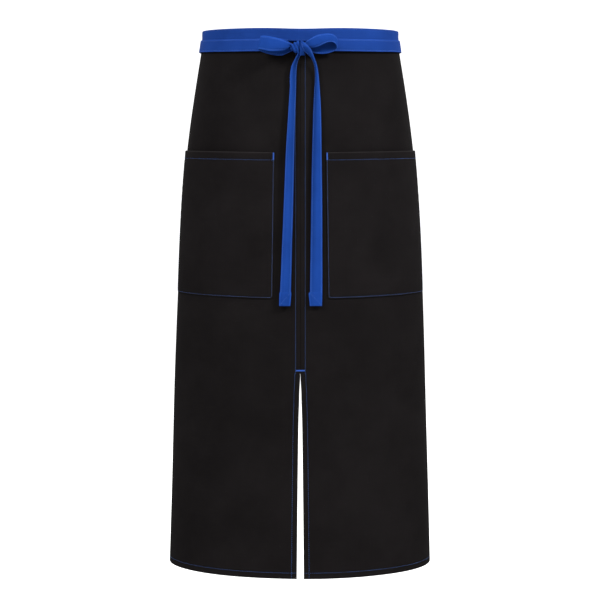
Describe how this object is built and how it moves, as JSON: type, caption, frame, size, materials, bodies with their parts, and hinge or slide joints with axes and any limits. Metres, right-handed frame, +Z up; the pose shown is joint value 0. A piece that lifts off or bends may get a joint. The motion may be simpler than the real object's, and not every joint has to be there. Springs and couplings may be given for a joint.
{
  "type": "waist apron",
  "caption": "Long black canvas waist apron with a blue waistband and ties, patch pockets, and a front slit that leaves two leg panels.",
  "frame": {"origin": "on the wearer's vertical axis, at the mid-height of the waistband", "axes": "+Z up along the wearer, the apron's front faces -Y, +X towards the right of the front view"},
  "size_m": [0.4314, 0.2539, 0.866],
  "materials": {
    "canvas": "black cotton canvas, matt twill",
    "pocket_canvas": "black cotton canvas, matt twill",
    "band_cloth": "royal blue cotton twill, folded",
    "tie_cloth": "royal blue cotton twill strip",
    "thread": "blue polyester topstitching thread"
  },
  "bodies": {
    "apron": {"waistband": "band_cloth", "centre_seam": "canvas", "waistband_top_thread": "thread", "waistband_bottom_thread": "thread", "centre_seam_left_thread": "thread", "centre_seam_right_thread": "thread", "slit_tack": "thread", "left_upper_panel": "canvas", "left_upper_side_hem": "canvas", "left_pocket": "pocket_canvas", "left_pocket_top_hem": "pocket_canvas", "left_pocket_inner_tack": "thread", "left_pocket_outer_tack": "thread", "left_pocket_top_thread": "thread", "left_pocket_side_thread": "thread", "left_upper_side_thread": "thread", "right_upper_panel": "canvas", "right_upper_side_hem": "canvas", "right_pocket": "pocket_canvas", "right_pocket_top_hem": "pocket_canvas", "right_pocket_inner_tack": "thread", "right_pocket_outer_tack": "thread", "right_pocket_top_thread": "thread", "right_pocket_side_thread": "thread", "right_upper_side_thread": "thread", "right_tie_wrap": "tie_cloth", "left_tie_wrap": "tie_cloth", "knot": "tie_cloth", "left_loop": "tie_cloth", "right_loop": "tie_cloth", "left_tie_neck": "tie_cloth", "right_tie_neck": "tie_cloth"},
    "left_leg": {"left_leg_panel": "canvas", "left_leg_side_hem": "canvas", "left_slit_hem": "canvas", "left_bottom_hem": "canvas", "left_leg_hem_thread": "thread"},
    "right_leg": {"right_leg_panel": "canvas", "right_leg_side_hem": "canvas", "right_slit_hem": "canvas", "right_bottom_hem": "canvas", "right_leg_hem_thread": "thread"},
    "left_tail": {"left_tail": "tie_cloth"},
    "right_tail": {"right_tail": "tie_cloth"}
  },
  "joints": [
    {"name": "left_leg_swing", "type": "hinge", "parent": "apron", "child": "left_leg", "pos_m": [0, -0.1324, -0.53], "axis": [1, 0, 0], "range_deg": [-25, 0], "stiffness_Nm_per_rad": 0.2, "springref_deg": 22.92},
    {"name": "right_leg_swing", "type": "hinge", "parent": "apron", "child": "right_leg", "pos_m": [0, -0.1324, -0.53], "axis": [1, 0, 0], "range_deg": [-25, 0], "stiffness_Nm_per_rad": 0.2, "springref_deg": 22.92},
    {"name": "left_tail_swing", "type": "hinge", "parent": "apron", "child": "left_tail", "pos_m": [-0.008, -0.1135, -0.044], "axis": [1, 0, 0], "range_deg": [-60, 0]},
    {"name": "right_tail_swing", "type": "hinge", "parent": "apron", "child": "right_tail", "pos_m": [0.0215, -0.1135, -0.044], "axis": [1, 0, 0], "range_deg": [-60, 0]}
  ]
}
